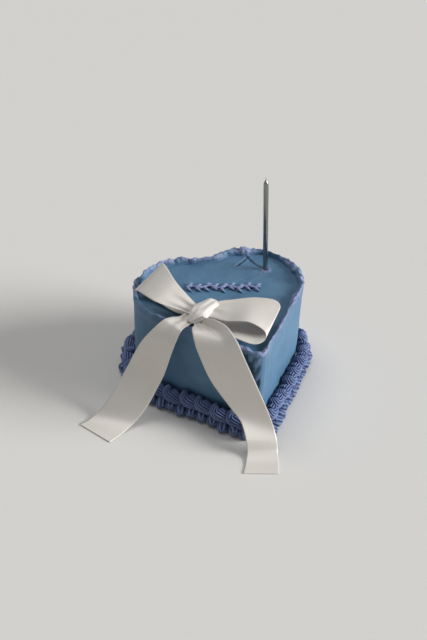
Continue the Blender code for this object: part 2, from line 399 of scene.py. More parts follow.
@dataclass(frozen=True)
class Satin:
    """Ivory polyester satin: floats of thread run along it, so its gloss spreads across it."""

    name: str = "ivory_satin"
    # face and fold are the lighter and darker tones of painted sheen streaks along the threads.
    face: str = "E9E4DD"
    fold: str = "DED8D0"
    roughness: float = 0.5
    thread_mm: float = 0.5
    thread_squash: float = 0.025

    def build(self) -> bpy.types.Material:
        """Build the material."""
        material, tree, shader = new_material(self.name)
        add = partial(add_node, tree)
        uv = add("ShaderNodeUVMap", uv_map="ribbon").outputs["UV"]
        # Real floats are about 0.1 mm wide; they are drawn 0.5 mm wide so that they show.
        fine = 1.0 / (self.thread_mm * MM)
        lengthwise = (fine, fine * self.thread_squash, 1.0)
        drawn = add("ShaderNodeMapping", {"Vector": uv}, {"Scale": lengthwise})
        thread = add("ShaderNodeTexNoise", {"Vector": drawn}, {"Scale": 1.0, "Detail": 2.0})
        # The two tones mixed along the threads are painted sheen; the fold tone is not put in
        # folds.
        colour = add(
            "ShaderNodeMix",
            {"Factor": thread},
            {"A": linear(self.fold), "B": linear(self.face)},
            data_type="RGBA",
        )
        bump = add("ShaderNodeBump", {"Height": thread}, {"Strength": 0.06, "Distance": 0.0003})
        tangent = add("ShaderNodeTangent", direction_type="UV_MAP", uv_map="ribbon")
        plug(shader, {"Base Color": colour, "Normal": bump, "Tangent": tangent})
        shader.inputs["Roughness"].default_value = self.roughness
        shader.inputs["Anisotropic"].default_value = 0.5
        shader.inputs["Metallic"].default_value = 0.16
        shader.inputs["Specular IOR Level"].default_value = 0.5
        shader.inputs["Sheen Weight"].default_value = 0.15
        shader.inputs["Sheen Roughness"].default_value = 0.4
        return material


@dataclass(frozen=True)
class SilverCoat:
    """Metallic lacquer on wax: a dipped candle's soft mirror, with slow waves in it."""

    name: str = "silver_coated_wax"
    colour: str = "8F9392"
    roughness: float = 0.2

    def build(self) -> bpy.types.Material:
        """Build the material."""
        material, tree, shader = new_material(self.name)
        add = partial(add_node, tree)
        place = add("ShaderNodeTexCoord").outputs["Object"]
        # Dipping leaves ripples about 2 mm wide and 11 mm long.
        drawn = add("ShaderNodeMapping", {"Vector": place}, {"Scale": (420.0, 420.0, 90.0)})
        wave = add("ShaderNodeTexNoise", {"Vector": drawn}, {"Scale": 1.0, "Detail": 2.0})
        bump = add("ShaderNodeBump", {"Height": wave}, {"Strength": 0.3, "Distance": 0.0006})
        gloss = add(
            "ShaderNodeMapRange",
            {"Value": wave},
            {"To Min": self.roughness - 0.06, "To Max": self.roughness + 0.1},
        )
        plug(shader, {"Normal": bump, "Roughness": gloss})
        shader.inputs["Base Color"].default_value = linear(self.colour)
        shader.inputs["Metallic"].default_value = 1.0
        return material


@dataclass(frozen=True)
class WaxedCotton:
    """Plaited cotton dipped in wax: a dull off-white cord."""

    name: str = "waxed_cotton"
    colour: str = "DCD6C8"
    gap: str = "B9B09D"

    def build(self) -> bpy.types.Material:
        """Build the material."""
        material, tree, shader = new_material(self.name)
        add = partial(add_node, tree)
        place = add("ShaderNodeTexCoord").outputs["Object"]
        plait = add("ShaderNodeTexNoise", {"Vector": place}, {"Scale": 2500.0})
        colour = add(
            "ShaderNodeMix",
            {"Factor": plait},
            {"A": linear(self.gap), "B": linear(self.colour)},
            data_type="RGBA",
        )
        bump = add("ShaderNodeBump", {"Height": plait}, {"Strength": 0.4, "Distance": 0.0002})
        plug(shader, {"Base Color": colour, "Normal": bump})
        shader.inputs["Roughness"].default_value = 0.7
        return material


# ---------------------------------------------------------------- the heart


@dataclass(frozen=True)
class Heart:
    """Plan of the cake: two round lobes, a rounded point and a shallow filled cleft."""

    lobe_offset: float = 35.3
    lobe_radius: float = 60.6
    point_reach: float = 129.0
    point_radius: float = 8.0
    cleft_radius: float = 45.0

    def half(self) -> Array:
        """Dense points of the right half, from the point round to the cleft."""
        reach = math.hypot(self.lobe_offset, self.point_reach)
        side = math.atan2(self.point_reach, self.lobe_offset) - math.asin(self.lobe_radius / reach)
        corner_y = -self.point_reach + self.point_radius / math.sin(math.pi / 2 - side)
        cleft_y = math.sqrt((self.lobe_radius + self.cleft_radius) ** 2 - self.lobe_offset**2)
        a = np.linspace(-math.pi / 2, side - math.pi / 2, 60)
        b = np.linspace(side - math.pi / 2, math.atan2(cleft_y, -self.lobe_offset), 700)
        c = np.linspace(math.atan2(-cleft_y, self.lobe_offset), -math.pi / 2, 120)[1:]
        point = self.point_radius * np.stack([np.cos(a), np.sin(a)], -1) + (0, corner_y)
        lobe = self.lobe_radius * np.stack([np.cos(b), np.sin(b)], -1) + (self.lobe_offset, 0)
        cleft = self.cleft_radius * np.stack([np.cos(c), np.sin(c)], -1) + (0, cleft_y)
        return np.vstack([point, lobe, cleft])

    def stations(self, count: int) -> tuple[Array, Array]:
        """Evenly spaced places round the heart, anticlockwise from its point.

        Args:
            count: Number of places.

        Returns:
            Points and outward directions, each an array of count rows.
        """
        right = self.half()
        loop = np.vstack([right, right[-2:0:-1] * (-1, 1)])
        closed = np.vstack([loop, loop[:1]])
        along = np.concatenate([[0.0], np.cumsum(np.hypot(*np.diff(closed, axis=0).T))])
        s = np.arange(count) * along[-1] / count
        points = np.stack([np.interp(s, along, closed[:, i]) for i in range(2)], -1)
        ahead = np.roll(points, -1, 0) - np.roll(points, 1, 0)
        ahead /= np.hypot(*ahead.T)[:, None]
        return points, np.stack([ahead[:, 1], -ahead[:, 0]], -1)


@dataclass(frozen=True)
class LipMark:
    """A place on the lip where the cream stands, spreads, leans or is rougher than elsewhere, and
    where its painted highlight differs.
    """

    x: float
    y: float
    reach: float
    height: float = 0.0
    width: float = 0.0
    lean: float = 0.0
    # crest adds to the painted highlight on the lip's top.
    crest: float = 0.0
    rough: float = 0.0


@dataclass
class IcedBlock:
    """The iced cake: smooth sides, a rough lip of untrimmed cream and a flat top."""

    heart: Heart
    place: Place
    top: float = 104.0
    columns: int = 570
    wall_rows: int = 44
    lip_rows: int = 22
    top_rows: int = 96
    middle: Pair = (0.0, -12.0)
    candle_foot: Pair = (62.0, 17.0)
    smear: Pair = (58.5, 10.5)
    smear_reach: float = 4.2
    lip_root: float = 1.5
    corner_y: float = -116.0
    corner_reach: float = 15.0
    pitted_side: Pair = (0.74, -0.67)
    trowel_turn: float = math.radians(20.0)
    tear_slant: float = math.radians(24.0)
    lip: LipMark = LipMark(0.0, 0.0, 1.0, 6.8, 4.4, 0.7, 0.22, 0.9)
    marks: tuple[LipMark, ...] = (
        LipMark(18.0, 52.0, 14.0, -0.6, 3.5, -0.6, 0.5, 0.3),
        LipMark(52.0, 60.0, 12.0, 2.4, 4.5, 0.3, 0.6, 1.2),
        LipMark(80.0, 44.0, 18.0, 0.2, -1.8, -0.4, -0.1, -0.5),
        LipMark(95.0, 10.0, 15.0, 0.8, 2.0, 1.4, 0.35, 1.4),
        LipMark(92.0, -18.0, 10.0, 0.6, 1.5, 1.2, 0.4, 1.2),
        LipMark(74.0, -45.0, 15.0, 0.4, 1.8, 1.1, 0.35, 1.5),
        LipMark(42.0, -84.0, 12.0, -1.6, 0.2, 0.7, 0.25, 0.9),
        LipMark(3.0, -124.0, 12.0, -3.0, 2.4, 1.2, 0.45, 0.6),
        LipMark(-22.0, -103.0, 16.0, -1.6, 3.0, 1.6, 0.5, 1.0),
        LipMark(-20.0, 54.0, 16.0, 0.6, 1.2, 0.0, 0.35, 0.7),
        LipMark(-50.0, 57.0, 20.0, 1.4, 1.8, 0.2, 0.5, 0.9),
        LipMark(-90.0, 20.0, 24.0, 1.4, 1.2, 0.8, 0.35, 0.8),
    )
    creases: tuple[tuple[Pair, ...], ...] = (
        ((46.0, 64.0), (49.5, 55.0), (51.0, 46.0), (45.0, 41.0), (38.0, 37.0), (33.0, 34.0)),
        ((51.0, 46.0), (54.0, 33.0), (58.0, 25.0), (60.5, 20.5)),
    )

    def lip_sizes(self, points: Array, grain: Grain) -> dict[str, Array]:
        """Height, width, lean, painted highlight and roughness of the lip at each station."""
        flat = np.column_stack([points, np.zeros(len(points))])
        swings = {"height": 1.3, "width": 1.1, "lean": 0.8, "crest": 0.25, "rough": 0.3}
        sizes = {
            key: getattr(self.lip, key) + swing * grain.layered(flat + 200.0 * n, 22.0)
            for n, (key, swing) in enumerate(swings.items())
        }
        for mark in self.marks:
            near = np.exp(-(((points - (mark.x, mark.y)) ** 2).sum(1)) / mark.reach**2)
            for key in sizes:
                sizes[key] = sizes[key] + near * getattr(mark, key)
        sizes["height"] = np.clip(sizes["height"], 2.0, 9.0)
        sizes["width"] = np.clip(sizes["width"], 2.4, 9.0)
        sizes["rough"] = np.clip(sizes["rough"], 0.25, 2.2)
        return sizes

    def top_height(self, plan: Array, grain: Grain) -> tuple[Array, Array]:
        """Height and painted light of the top at each plan point."""
        flat = np.column_stack([plan, np.zeros(len(plan))])
        turned = flat @ np.array(Matrix.Rotation(self.trowel_turn, 3, "Z"))
        z = 0.35 * grain.at(flat, 34.0) + 0.16 * grain.at(turned, (26.0, 5.0, 1.0))
        z += 0.10 * grain.at(turned + 90, (16.0, 1.8, 1.0))
        painted_light = np.zeros(len(plan))
        for line in self.creases:
            gap = np.full(len(plan), math.inf)
            for a, b in zip(line[:-1], line[1:]):
                start, run = np.array(a), np.subtract(b, a)
                t = np.clip(((plan - start) @ run) / (run @ run), 0, 1)
                gap = np.minimum(gap, np.hypot(*(plan - start - t[:, None] * run).T))
            wander = np.abs(gap + 0.9 * grain.at(flat + 50, 4.0))
            depth = 1.6 + 0.8 * grain.at(flat + 80, 6.0)
            # A groove with a low burr on both sides, with painted highlight on the burrs and
            # painted shade in the groove.
            z += 0.4 * np.exp(-(((wander - 2.8) / 1.6) ** 2))
            z -= depth * np.exp(-((wander / 1.35) ** 2))
            painted_light += 0.1 * np.exp(-(((wander - 2.8) / 1.3) ** 2))
            painted_light -= 0.5 * np.exp(-((wander / 1.3) ** 2))
        foot = np.hypot(*(plan - self.candle_foot).T)
        heap = np.exp(-(((foot - 4.4) / 2.4) ** 2)) * smoothstep(grain.at(flat + 5, 5.0), -0.6, 0.5)
        smear = np.exp(-(((plan - self.smear) ** 2).sum(1)) / self.smear_reach**2)
        smear = smear * smoothstep(grain.at(flat, 3.0), -0.7, 0.5)
        z += 1.3 * heap + 0.7 * smear
        # Painted highlight on the heap round the candle's foot and on the smear beside it.
        return z, painted_light + 0.4 * heap + 0.45 * smear

    def wall_ring(
        self, points: Array, out: Array, z: float, lip: dict[str, Array], grain: Grain
    ) -> tuple[Array, Array, Array]:
        """One ring of the side.

        Args:
            points: Plan of the heart.
            out: Outward direction at each point.
            z: Height of the ring.
            lip: Sizes of the lip at each point.
            grain: Noise to shape it with.

        Returns:
            Points, with their painted light and their share of air pits.
        """
        ring = np.column_stack([points, np.full(len(points), z)])
        push = 0.45 * grain.at(ring, 38.0) + 0.07 * grain.at(ring + 70, (4.0, 4.0, 50.0))
        corner = np.exp(-(((points[:, 1] - self.corner_y) / self.corner_reach) ** 2))
        # Dragged and torn cream beside the point, on the side away from the candle.
        level = np.array(z)
        torn = corner * (points[:, 0] < -1.0) * (0.2 + 0.8 * smoothstep(level, 25.0, 75.0))
        slant = ring @ np.array(Matrix.Rotation(self.tear_slant, 3, "Y"))
        drag = grain.at(slant + 30, (4.2, 4.2, 15.0)) + 0.4 * grain.at(ring, 3.4)
        gouge = smoothstep(drag, -0.15, 0.45)
        push += torn * (0.4 - 2.6 * gouge) + corner * 0.3 * grain.at(ring + 11, (2.4, 2.4, 26.0))
        high = smoothstep(level, self.top - 14, self.top)
        push += high * (lip["rough"] * 0.35 * grain.layered(ring, 6.0) + 0.4 * lip["lean"])
        ring[:, :2] += out * push[:, None]
        # Painted light: a little paler towards the top of the side; beside the point, painted
        # highlight on the torn streaks and painted shade in the gouges.
        painted_light = np.clip(0.12 * high + torn * (0.16 - 0.45 * gouge), -0.4, 1)
        facing = np.clip(out @ self.pitted_side, 0, 1)
        return ring, painted_light, 0.2 + 0.8 * facing

    def lip_ring(
        self, points: Array, out: Array, a: float, lip: dict[str, Array], grain: Grain
    ) -> tuple[Array, Array]:
        """One ring of the lip.

        Args:
            points: Plan of the heart.
            out: Outward direction at each point.
            a: Angle of the ring over the crest, from 0 outside to pi inside.
            lip: Sizes of the lip at each point.
            grain: Noise to shape it with.

        Returns:
            Points, with their painted highlight.
        """
        rise = math.sin(a) ** (1.1 - 0.25 * np.clip(lip["rough"], 0, 2))
        side = lip["lean"] * (0.35 + 0.65 * rise) * (a < 2.2)
        side = side - 0.5 * lip["width"] * (1 - math.cos(a))
        height = self.top - self.lip_root + (lip["height"] + self.lip_root) * rise
        ring = np.column_stack([points + out * side[:, None], height])
        clod = smoothstep(grain.at(ring + 9, 4.2), 0.1, 0.6)
        clod = clod + 0.5 * smoothstep(grain.at(ring, 2.3), 0.1, 0.6)
        push = rise * lip["rough"] * (0.9 * grain.layered(ring, 6.5) + 0.8 * clod - 0.25)
        ring[:, :2] += out * push[:, None]
        ring[:, 2] += rise * lip["rough"] * (1.1 * grain.layered(ring + 15, 6.0) - 0.2)
        ring[:, 2] = np.minimum(ring[:, 2], self.top + 10.0)
        # Painted highlight on the top of the lip, more on its clods.
        painted_light = lip["crest"] + 0.3 * clod + 0.3 * grain.at(ring, 4.5)
        return ring, np.clip(rise**2 * painted_light, 0, 1)

    def build(self, finish: bpy.types.Material) -> bpy.types.Object:
        """Build the iced block.

        Args:
            finish: Spread cream.

        Returns:
            The finished piece.
        """
        grain = Grain(11)
        points, out = self.heart.stations(self.columns)
        lip = self.lip_sizes(points, grain)
        none = np.zeros(self.columns)
        bands = [(np.column_stack([points - out, none + TABLE_GAP]), none, none)]
        for z in np.linspace(TABLE_GAP, self.top - self.lip_root, self.wall_rows):
            bands.append(self.wall_ring(points, out, z, lip, grain))
        for a in np.linspace(0.0, math.pi, self.lip_rows + 2)[1:-1]:
            bands.append((*self.lip_ring(points, out, a, lip, grain), none))
        middle = np.array(self.middle)
        edge = points - out * (lip["width"] + 0.5)[:, None]
        for r in np.linspace(0.0, 1.0, self.top_rows + 1)[:-1]:
            plan = edge + (middle - edge) * r
            z, painted_light = self.top_height(plan, grain)
            bands.append((np.column_stack([plan, self.top + z]), painted_light, none + 0.1))
        rings, painted_lights, pits = zip(*bands)
        z, _ = self.top_height(middle[None], grain)
        foot, hub = (*self.middle, TABLE_GAP), (*self.middle, self.top + z[0])
        body, faces = closed_sweep(np.array(rings), foot, hub)
        # The crest attribute holds painted highlight where positive and painted shade where
        # negative.
        attributes = {
            "crest": np.concatenate([*painted_lights, [0.0, 0.0]]),
            "pits": np.concatenate([*pits, [0.0, 0.0]]),
        }
        piece = make_piece("iced_block", self.place.world(body), faces, finish, attributes)
        settle(piece, "blue_cream", "cake_body")
        return piece


# ---------------------------------------------------------------- piping


class Nozzle(Enum):
    """Star nozzles: number of teeth, and how deep each groove is cut."""

    FINE = (15, 0.42)
    COARSE = (7, 0.3)
    LEAF = (5, 0.18)
    ROUND = (9, 0.05)


def ridged_sweep(path: Array, radii: Array, nozzle: Nozzle, per_tooth: int, twist: float) -> Array:
    """Rings of piped cream along a path.

    Args:
        path: Centre line, one point for each ring.
        radii: Radius of each ring.
        nozzle: Star nozzle that gives the ridges.
        per_tooth: Points across each ridge.
        twist: Turns of the ridges along the whole path.

    Returns:
        Array of rings, points and coordinates.
    """
    teeth, cut = nozzle.value
    ahead = np.gradient(path, axis=0)
    ahead /= np.linalg.norm(ahead, axis=1)[:, None]
    normal = np.cross(ahead[0], (0.31, 0.17, 0.94))
    normal /= np.linalg.norm(normal)
    angle = np.arange(teeth * per_tooth) * math.tau / (teeth * per_tooth)
    groove = 1 - cut * (1 - np.abs(np.cos(teeth * angle / 2)) ** 0.8)
    rings = []
    for i, (p, d, r) in enumerate(zip(path, ahead, radii)):
        normal = normal - d * (normal @ d)
        normal /= np.linalg.norm(normal)
        side = np.cross(d, normal)
        turned = (angle + math.tau * twist * i / (len(path) - 1))[:, None]
        rings.append(p + r * groove[:, None] * (np.cos(turned) * normal + np.sin(turned) * side))
    return np.array(rings)


@dataclass
class ShellRow:
    """One row of piped shells that follows the foot of the cake."""

    name: str
    node: str
    heart: Heart
    place: Place
    shells: int
    nozzle: Nozzle
    path: tuple[Triple, ...]
    radii: tuple[float, ...]
    rings: int
    per_tooth: int
    seed: int
    jitter: float
    ruffle: float
    shift: float = 0.0

    def shell(self, finish: bpy.types.Material) -> bpy.types.Object:
        """One shell: X runs along the row, -Y points away from the cake and Z is up."""
        t = np.linspace(0, len(self.path) - 1, self.rings)
        path = spline(np.array(self.path), t)
        radii = spline(np.array(self.radii)[:, None], t)[:, 0]
        cap = np.sqrt(np.clip(1 - (1 - np.minimum(np.arange(self.rings), 3) / 3.0) ** 2, 0.02, 1))
        radii = np.maximum(radii * cap * cap[::-1], 0.15)
        points, faces = closed_sweep(ridged_sweep(path, radii, self.nozzle, self.per_tooth, 0.0))
        teeth = self.nozzle.value[0] * self.per_tooth
        # Painted light runs from 0.9, a painted highlight on a ridge, down to -0.5, painted shade
        # in a groove.
        ridge = 1.4 * np.abs(np.cos(np.arange(teeth) * math.pi / self.per_tooth)) ** 2 - 0.5
        crest = np.concatenate([np.tile(ridge, self.rings), [0.2, 0.2]])
        return make_piece(self.name + "_one", points * MM, faces, finish, {"crest": crest})

    def tree(self, finish: bpy.types.Material) -> bpy.types.NodeTree:
        """Geometry nodes that set one shell at each point of the row and ruffle them all."""
        tree = bpy.data.node_groups.new(self.name, "GeometryNodeTree")
        add = partial(add_node, tree)
        inputs = {
            "Geometry": "Geometry",
            "Shell": "Object",
            "Jitter": "Float",
            "Ruffle": "Float",
            "Seed": "Int",
        }
        for name, kind in inputs.items():
            tree.interface.new_socket(name, in_out="INPUT", socket_type="NodeSocket" + kind)
        tree.interface.new_socket("Geometry", in_out="OUTPUT", socket_type="NodeSocketGeometry")
        given = add("NodeGroupInput").outputs
        along = add(
            "GeometryNodeInputNamedAttribute", None, {"Name": "along"}, data_type="FLOAT_VECTOR"
        )
        turn = add("FunctionNodeAlignRotationToVector", {"Vector": along}, axis="X", pivot_axis="Z")
        lean = add(
            "FunctionNodeRandomValue",
            {"Seed": given["Seed"]},
            {"Min": (-1.0, -1.0, -1.0), "Max": (1.0, 1.0, 1.0)},
            data_type="FLOAT_VECTOR",
        )
        amount = add("ShaderNodeVectorMath", {0: lean, "Scale": given["Jitter"]}, operation="SCALE")
        small = add("FunctionNodeEulerToRotation", {"Euler": amount})
        both = add(
            "FunctionNodeRotateRotation",
            {"Rotation": turn, "Rotate By": small},
            rotation_space="LOCAL",
        )
        size = add(
            "ShaderNodeVectorMath",
            {0: amount},
            {1: (0.6, 0.6, 0.6), 2: (1.0, 1.0, 1.0)},
            operation="MULTIPLY_ADD",
        )
        shell = add("GeometryNodeObjectInfo", {"Object": given["Shell"]})
        spread = add(
            "GeometryNodeInstanceOnPoints",
            {
                "Points": given["Geometry"],
                "Instance": shell.outputs["Geometry"],
                "Rotation": both,
                "Scale": size,
            },
        )
        real = add("GeometryNodeRealizeInstances", {"Geometry": spread})
        noise = add("ShaderNodeTexNoise", None, {"Scale": 260.0, "Detail": 2.0})
        centred = add(
            "ShaderNodeVectorMath",
            {0: noise.outputs["Color"]},
            {1: (0.5, 0.5, 0.5)},
            operation="SUBTRACT",
        )
        offset = add(
            "ShaderNodeVectorMath", {0: centred, "Scale": given["Ruffle"]}, operation="SCALE"
        )
        moved = add("GeometryNodeSetPosition", {"Geometry": real, "Offset": offset})
        # Nothing sinks below the table.
        where = add("GeometryNodeInputPosition")
        above = add(
            "ShaderNodeVectorMath", {0: where}, {1: (-9.0, -9.0, 0.0003)}, operation="MAXIMUM"
        )
        lifted = add("GeometryNodeSetPosition", {"Geometry": moved, "Position": above})
        dressed = add("GeometryNodeSetMaterial", {"Geometry": lifted}, {"Material": finish})
        add("NodeGroupOutput", {0: dressed})
        return tree

    def build(self, finish: bpy.types.Material) -> bpy.types.Object:
        """Build the row.

        Args:
            finish: Piped cream.

        Returns:
            The finished piece.
        """
        points, out = self.heart.stations(self.shells * 4)
        pick = (np.arange(self.shells) * 4 + round(4 * self.shift)) % (self.shells * 4)
        points, out = points[pick], out[pick]
        spots = self.place.world(np.column_stack([points, np.zeros(len(points))]))
        row = make_piece(self.name, spots, [], finish)
        along = row.data.attributes.new("along", "FLOAT_VECTOR", "POINT")
        tangent = np.column_stack([-out[:, 1], out[:, 0], np.zeros(len(out))])
        along.data.foreach_set("vector", tangent.astype(np.float32).ravel())
        tree = self.tree(finish)
        shell = self.shell(finish)
        modifier = row.modifiers.new("Shells", "NODES")
        modifier.node_group = tree
        values = {
            "Shell": shell, "Jitter": self.jitter, "Ruffle": self.ruffle * MM, "Seed": self.seed
        }
        for item in tree.interface.items_tree:
            if item.in_out == "INPUT" and item.name in values:
                modifier[item.identifier] = values[item.name]
        graph = bpy.context.evaluated_depsgraph_get()
        mesh = bpy.data.meshes.new_from_object(row.evaluated_get(graph))
        row.modifiers.clear()
        row.data = mesh
        mesh.name = self.name
        mesh.shade_smooth()
        bpy.data.objects.remove(shell, do_unlink=True)
        settle(row, "piped_cream", self.node)
        return row


@dataclass
class Vine:
    """Piped stem with drop-shaped leaves on both sides, on the cake's top."""

    place: Place
    top: float = 104.0
    centre: Pair = (4.0, -2.0)
    angle: float = math.radians(-17.0)
    length: float = 84.0
    swing: float = 1.8
    waves: int = 4
    radius: float = 1.5
    leaf_pairs: int = 9
    leaf: float = 9.0
    leaf_angle: float = math.radians(52.0)
    leaf_root: float = 1.2
    leaf_bend: float = 1.1
    leaf_radius: float = 2.0
    stem_rings: int = 220
    leaf_rings: int = 20

    def stem(self, t: Array) -> Array:
        """Centre line of the stem, in plan."""
        fade = np.minimum(1.0, np.minimum(5 * t, 5 * (1 - t)))
        x = (t - 0.5) * self.length
        y = self.swing * fade * np.sin(math.tau * self.waves * t)
        c, s = math.cos(self.angle), math.sin(self.angle)
        return np.column_stack([x * c - y * s, x * s + y * c]) + self.centre

    def build(self, finish: bpy.types.Material) -> bpy.types.Object:
        """Build the vine.

        Args:
            finish: Piped cream.

        Returns:
            The finished piece.
        """
        grain = Grain(5)
        t = np.linspace(0, 1, self.stem_rings)
        plan = self.stem(t)
        radii = self.radius * (1 + 0.16 * grain.at(np.column_stack([plan, 0 * t]), 3.5))
        radii *= np.sqrt(np.clip(np.minimum(t, 1 - t) * 60, 0.02, 1))
        path = np.column_stack([plan, self.top + 0.4 + 0.9 * radii])
        points, faces = closed_sweep(ridged_sweep(path, radii, Nozzle.ROUND, 2, 2.0))
        blocks, all_faces = [points], list(faces)
        for k in range(2 * self.leaf_pairs):
            side = 1.0 if k % 2 == 0 else -1.0
            foot = self.stem(np.array([(k // 2 + 0.35 + 0.15 * side) / self.leaf_pairs]))[0]
            a = self.angle + side * (self.leaf_angle + 0.16 * grain.table[k])
            u = np.linspace(0, 1, self.leaf_rings)
            reach = (self.leaf + 0.8 * grain.table[k + 50] + self.leaf_root) * u - self.leaf_root
            bend = side * self.leaf_bend * np.sin(math.pi * u)
            line = foot + np.outer(reach, (math.cos(a), math.sin(a)))
            line += np.outer(bend, (-math.sin(a), math.cos(a)))
            swell = np.sin(math.pi * np.clip(u * 0.94 + 0.03, 0, 1)) ** 0.8
            r = 0.25 + self.leaf_radius * swell * (1 - 0.3 * u)
            path = np.column_stack([line, self.top + 0.1 + 0.75 * r])
            more, more_faces = closed_sweep(ridged_sweep(path, r, Nozzle.LEAF, 4, 0.05))
            first = sum(len(block) for block in blocks)
            blocks.append(more)
            all_faces += [[i + first for i in f] for f in more_faces]
        body = np.vstack(blocks)
        # Painted highlight on the higher parts of the stem and leaves.
        crest = smoothstep(body[:, 2], self.top + 1.0, self.top + 3.2) * 0.85
        body = self.place.world(body)
        piece = make_piece("vine_piping", body, all_faces, finish, {"crest": crest})
        settle(piece, "piped_cream", "piped_vine")
        return piece


# ---------------------------------------------------------------- ribbon


class Held(Enum):
    """How a length of ribbon is held."""

    FOLDED = "folded"
    DRAPED = "draped"
    GATHERED = "gathered"


def weave(piece: bpy.types.Object, columns: int, step: Pair, offset: float) -> None:
    """Give a grid of ribbon its thread directions and its thickness.

    Args:
        piece: Grid of points, row by row along the ribbon.
        columns: Points in each row.
        step: Cloth between two columns and between two rows, in metres.
        offset: Side that the thickness goes to: 0 for both, -1 for the inside.
    """
    uv = piece.data.uv_layers.new(name="ribbon")
    loops = np.zeros(len(piece.data.loops), np.int32)
    piece.data.loops.foreach_get("vertex_index", loops)
    cloth = np.column_stack([loops % columns * step[0], loops // columns * step[1]])
    uv.data.foreach_set("uv", cloth.astype(np.float32).ravel())
    wall = piece.modifiers.new("Cloth", "SOLIDIFY")
    wall.thickness = CLOTH * MM
    wall.offset = offset


@dataclass
class RibbonLength:
    """A length of satin ribbon given by its two edges as it lies."""

    name: str
    node: str
    place: Place
    held: Held
    flat: Pair
    rests: tuple[str, ...]
    edges: tuple[tuple[Triple, Triple], ...]
    pleats: float = 2.0
    gather: float = 0.4
    calm_mm: float = 22.0
    curl: tuple[float, ...] = (0.0, 0.0)
    per_span: int = 14
    across: int = 28
    seed: int = 3

    def surface(self) -> Array:
        """Middle surface of the ribbon: rows along it, columns across."""
        spans = len(self.edges) - 1
        t = np.linspace(0, spans, spans * self.per_span + 1)
        first = spline(np.array([pair[0] for pair in self.edges]), t)
        second = spline(np.array([pair[1] for pair in self.edges]), t)
        w = np.linspace(0, 1, self.across + 1)
        grid = first[:, None] + (second - first)[:, None] * w[None, :, None]
        ahead = np.gradient(grid, axis=0)
        side = np.gradient(grid, axis=1)
        normal = np.cross(ahead, side)
        normal /= np.linalg.norm(normal, axis=2)[:, :, None]
        # Where the edges come closer than the cloth is wide, pleats take up the rest of it.
        width = np.linalg.norm(second - first, axis=1)
        slope = 2 * np.sqrt(np.clip(self.flat[0] / MM / width - 1, 0, None))
        depth = self.gather * slope * width / (math.tau * self.pleats)
        middle = (first + second) / 2
        along = np.concatenate([[0.0], np.cumsum(np.linalg.norm(np.diff(middle, axis=0), axis=1))])
        far = along if self.held is Held.DRAPED else np.minimum(along, along[-1] - along)
        depth = depth * np.exp(-((far / self.calm_mm) ** 2))
        grain = Grain(self.seed)
        wander = np.column_stack([t * 0.35, np.zeros((len(t), 2))])
        phase = 1.3 * grain.at(wander, 1.0)[:, None]
        fold = np.sin(math.tau * self.pleats * w[None] + phase + 0.8)
        fold *= np.sin(math.pi * w[None]) ** 0.4
        push = depth[:, None] * fold
        grid = grid + normal * push[:, :, None]
        # The second edge may curl up and over.
        lift = np.interp(t, np.arange(len(self.curl)), self.curl)[:, None]
        lift = lift * smoothstep(w, 0.62, 1.05)[None]
        back = (first - second) / width[:, None]
        return grid + lift[:, :, None] * (np.array([0.0, 0.0, 1.0]) + 0.5 * back[:, None])

    def build(self, finish: bpy.types.Material) -> bpy.types.Object:
        """Build the ribbon length.

        Args:
            finish: Satin.

        Returns:
            The finished piece.
        """
        grid = self.surface()
        rows, columns = grid.shape[:2]
        faces = strip_faces(rows, columns, False)
        piece = make_piece(self.name, self.place.world(grid.reshape(-1, 3)), faces, finish)
        weave(piece, columns, (self.flat[0] / (columns - 1), self.flat[1] / (rows - 1)), 0.0)
        settle(piece, "satin", self.node)
        return piece


@dataclass
class Knot:
    """Gathered wrap of ribbon over the middle of the bow, with a small fold at its upper end."""

    place: Place
    ends: tuple[Triple, Triple] = ((-55.5, -60.5, 113.0), (-18.5, -41.0, 118.5))
    profile: tuple[float, ...] = (1.5, 5.6, 8.6, 9.8, 9.6, 8.6, 8.3, 7.6, 1.5)
    flat: Pair = (0.04, 0.055)
    rows: int = 48
    columns: int = 84
    arch: float = 1.8
    across: float = 1.1
    upward: float = 0.66

    def build(self, finish: bpy.types.Material) -> bpy.types.Object:
        """Build the knot.

        Args:
            finish: Satin.

        Returns:
            The finished piece.
        """
        a, b = (np.array(e) for e in self.ends)
        axis = (b - a) / np.linalg.norm(b - a)
        across = np.cross(axis, (0, 0, 1))
        across /= np.linalg.norm(across)
        up = np.cross(across, axis)
        c = np.arange(self.columns) * math.tau / self.columns
        shares = np.linspace(0, 1, self.rows)
        radii = spline(np.array(self.profile)[:, None], shares * (len(self.profile) - 1))[:, 0]
        rings = []
        for u, r in zip(shares, radii):
            pleat = 1.05 - 0.15 * np.abs(np.sin(2.5 * c + 1.6 * u)) ** 3
            pleat += 0.035 * np.sin(9 * c - 4 * u + 1.0)
            middle = a + (b - a) * u + up * self.arch * math.sin(math.pi * u)
            spoke = self.across * np.cos(c)[:, None] * across
            spoke = spoke + self.upward * np.sin(c)[:, None] * up
            rings.append(middle + spoke * (r * pleat)[:, None])
        points = self.place.world(np.array(rings).reshape(-1, 3))
        piece = make_piece("knot_wrap", points, strip_faces(self.rows, self.columns, True), finish)
        length = float(np.linalg.norm(b - a)) * MM
        weave(piece, self.columns, (self.flat[0] / self.columns, length / self.rows), -1.0)
        settle(piece, "satin", "bow_knot")
        return piece


# ---------------------------------------------------------------- candle


